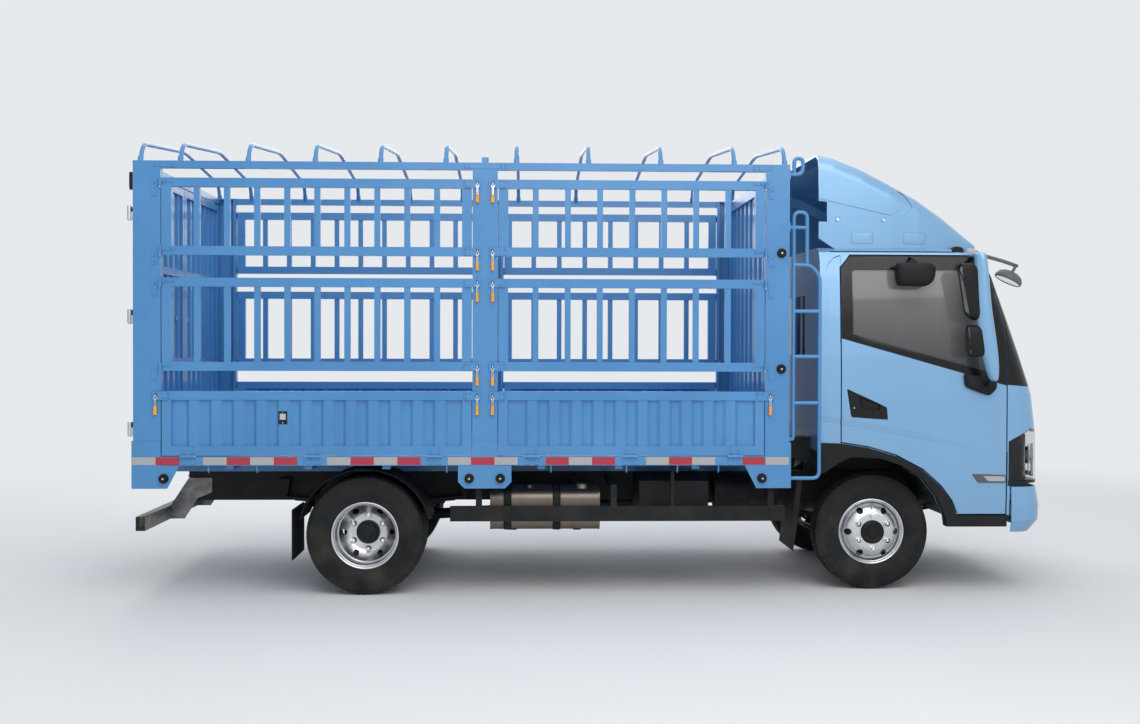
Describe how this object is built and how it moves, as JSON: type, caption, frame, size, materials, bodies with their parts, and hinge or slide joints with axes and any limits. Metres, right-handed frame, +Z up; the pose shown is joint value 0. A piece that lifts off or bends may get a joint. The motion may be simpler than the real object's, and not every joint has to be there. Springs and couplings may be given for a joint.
{
  "type": "light stake-bed truck with a tilting cab",
  "caption": "Light cab-over truck with a blue stake body: hinged upper and lower gates, drop side boards, roof bows, rear doors, roof deflector, side ladder and tilting cab",
  "frame": {"origin": "on the ground under the middle of the truck's bounding box", "axes": "+X is forward, along the truck; +Y is its left side; +Z is up"},
  "size_m": [5.998, 2.43, 3.0321],
  "materials": {
    "body_blue": "sky blue semi-gloss paint on steel tube and sheet",
    "cab_blue": "light metallic blue gloss paint",
    "chassis_black": "satin black chassis paint",
    "underrun_paint": "dusty grey-brown primer",
    "tyre_rubber": "black moulded rubber",
    "rubber": "black rubber",
    "wheel_silver": "silver wheel paint",
    "glass": "grey tinted safety glass",
    "lamp_glass": "clear lamp cover over a bright reflector",
    "lamp_red": "red lamp cover",
    "black_plastic": "grained black plastic",
    "seat_fabric": "dark grey woven cloth",
    "aluminium": "bare sheet aluminium",
    "cast_metal": "grey cast iron and steel"
  },
  "bodies": {
    "root": {"chassis_frame": "chassis_black", "front_axle_beam": "chassis_black", "rear_axle": "chassis_black", "leaf_springs": "chassis_black", "engine_gearbox": "cast_metal", "fuel_tank": "aluminium", "chassis_equipment": "chassis_black", "guards": "chassis_black", "mudguards": "rubber", "front_bumper": "cab_blue", "cargo_deck": "body_blue", "body_posts": "body_blue", "roof_frame": "body_blue", "front_wall": "body_blue", "roof_bows": "body_blue", "rubber_buffers": "rubber", "side_ladder": "body_blue", "rear_lamps": "lamp_red"},
    "cab": {"cab_shell": "cab_blue", "cab_glass": "glass", "roof_deflector": "cab_blue", "headlamps": "lamp_glass", "front_grille": "black_plastic", "arch_trims": "black_plastic", "dashboard": "black_plastic", "seats": "seat_fabric", "corner_mirror": "black_plastic"},
    "door_right": {"door_right": "cab_blue", "door_glass_right": "glass", "door_mirror_right": "black_plastic", "kerb_mirror": "black_plastic"},
    "steer_right": {"knuckle_right": "chassis_black"},
    "wheel_front_right": {"tyre_front_right": "tyre_rubber", "rim_front_right": "wheel_silver"},
    "wheels_rear_right": {"tyres_rear_right": "tyre_rubber", "rims_rear_right": "wheel_silver"},
    "gate_upper_rear_right": {"gate_upper_rear_right": "body_blue"},
    "gate_upper_front_right": {"gate_upper_front_right": "body_blue"},
    "gate_lower_rear_right": {"gate_lower_rear_right": "body_blue"},
    "gate_lower_front_right": {"gate_lower_front_right": "body_blue"},
    "board_rear_right": {"board_rear_right": "body_blue"},
    "board_front_right": {"board_front_right": "body_blue"},
    "rear_door_right": {"rear_door_right": "body_blue"},
    "door_left": {"door_left": "cab_blue", "door_glass_left": "glass", "door_mirror_left": "black_plastic"},
    "steer_left": {"knuckle_left": "chassis_black"},
    "wheel_front_left": {"tyre_front_left": "tyre_rubber", "rim_front_left": "wheel_silver"},
    "wheels_rear_left": {"tyres_rear_left": "tyre_rubber", "rims_rear_left": "wheel_silver"},
    "gate_upper_rear_left": {"gate_upper_rear_left": "body_blue"},
    "gate_upper_front_left": {"gate_upper_front_left": "body_blue"},
    "gate_lower_rear_left": {"gate_lower_rear_left": "body_blue"},
    "gate_lower_front_left": {"gate_lower_front_left": "body_blue"},
    "board_rear_left": {"board_rear_left": "body_blue"},
    "board_front_left": {"board_front_left": "body_blue"},
    "rear_door_left": {"rear_door_left": "body_blue"}
  },
  "joints": [
    {"name": "cab_tilt", "type": "hinge", "parent": "root", "child": "cab", "pos_m": [2.815, 0, 0.8], "axis": [0, -1, 0], "range_deg": [-45, 0]},
    {"name": "door_right_hinge", "type": "hinge", "parent": "cab", "child": "door_right", "pos_m": [2.716, -1.012, 1.4], "axis": [0, 0, 1], "range_deg": [0, 65]},
    {"name": "steering_right", "type": "hinge", "parent": "root", "child": "steer_right", "pos_m": [1.86, -0.64, 0.3875], "axis": [0, 0, 1], "range_deg": [-35, 35]},
    {"name": "wheel_front_right_spin", "type": "hinge", "parent": "steer_right", "child": "wheel_front_right", "pos_m": [1.86, -0.8, 0.3875], "axis": [0, 1, 0], "continuous": true},
    {"name": "wheels_rear_right_spin", "type": "hinge", "parent": "root", "child": "wheels_rear_right", "pos_m": [-1.5, -0.835, 0.3875], "axis": [0, 1, 0], "continuous": true},
    {"name": "gate_upper_rear_right_hinge", "type": "hinge", "parent": "root", "child": "gate_upper_rear_right", "pos_m": [-2.79, -1.132, 2.449], "axis": [0, 0, 1], "range_deg": [-165, 0]},
    {"name": "gate_upper_front_right_hinge", "type": "hinge", "parent": "root", "child": "gate_upper_front_right", "pos_m": [1.098, -1.132, 2.449], "axis": [0, 0, -1], "range_deg": [-165, 0]},
    {"name": "gate_lower_rear_right_hinge", "type": "hinge", "parent": "root", "child": "gate_lower_rear_right", "pos_m": [-2.79, -1.132, 1.76], "axis": [0, 0, 1], "range_deg": [-165, 0]},
    {"name": "gate_lower_front_right_hinge", "type": "hinge", "parent": "root", "child": "gate_lower_front_right", "pos_m": [1.098, -1.132, 1.76], "axis": [0, 0, -1], "range_deg": [-165, 0]},
    {"name": "board_rear_right_hinge", "type": "hinge", "parent": "root", "child": "board_rear_right", "pos_m": [-1.795, -1.132, 0.912], "axis": [-1, 0, 0], "range_deg": [-175, 0]},
    {"name": "board_front_right_hinge", "type": "hinge", "parent": "root", "child": "board_front_right", "pos_m": [0.229, -1.132, 0.912], "axis": [-1, 0, 0], "range_deg": [-175, 0]},
    {"name": "rear_door_right_hinge", "type": "hinge", "parent": "root", "child": "rear_door_right", "pos_m": [-2.987, -1.124, 1.832], "axis": [0, 0, 1], "range_deg": [0, 250]},
    {"name": "door_left_hinge", "type": "hinge", "parent": "cab", "child": "door_left", "pos_m": [2.716, 1.012, 1.4], "axis": [0, 0, -1], "range_deg": [0, 65]},
    {"name": "steering_left", "type": "hinge", "parent": "root", "child": "steer_left", "pos_m": [1.86, 0.64, 0.3875], "axis": [0, 0, 1], "range_deg": [-35, 35]},
    {"name": "wheel_front_left_spin", "type": "hinge", "parent": "steer_left", "child": "wheel_front_left", "pos_m": [1.86, 0.8, 0.3875], "axis": [0, 1, 0], "continuous": true},
    {"name": "wheels_rear_left_spin", "type": "hinge", "parent": "root", "child": "wheels_rear_left", "pos_m": [-1.5, 0.835, 0.3875], "axis": [0, 1, 0], "continuous": true},
    {"name": "gate_upper_rear_left_hinge", "type": "hinge", "parent": "root", "child": "gate_upper_rear_left", "pos_m": [-2.79, 1.132, 2.449], "axis": [0, 0, -1], "range_deg": [-165, 0]},
    {"name": "gate_upper_front_left_hinge", "type": "hinge", "parent": "root", "child": "gate_upper_front_left", "pos_m": [1.098, 1.132, 2.449], "axis": [0, 0, 1], "range_deg": [-165, 0]},
    {"name": "gate_lower_rear_left_hinge", "type": "hinge", "parent": "root", "child": "gate_lower_rear_left", "pos_m": [-2.79, 1.132, 1.76], "axis": [0, 0, -1], "range_deg": [-165, 0]},
    {"name": "gate_lower_front_left_hinge", "type": "hinge", "parent": "root", "child": "gate_lower_front_left", "pos_m": [1.098, 1.132, 1.76], "axis": [0, 0, 1], "range_deg": [-165, 0]},
    {"name": "board_rear_left_hinge", "type": "hinge", "parent": "root", "child": "board_rear_left", "pos_m": [-1.795, 1.132, 0.912], "axis": [1, 0, 0], "range_deg": [-175, 0]},
    {"name": "board_front_left_hinge", "type": "hinge", "parent": "root", "child": "board_front_left", "pos_m": [0.229, 1.132, 0.912], "axis": [1, 0, 0], "range_deg": [-175, 0]},
    {"name": "rear_door_left_hinge", "type": "hinge", "parent": "root", "child": "rear_door_left", "pos_m": [-2.987, 1.124, 1.832], "axis": [0, 0, -1], "range_deg": [0, 250]}
  ],
  "couplings": [
    {"joint": "steering_left", "follows": "steering_right", "ratio": 1}
  ]
}
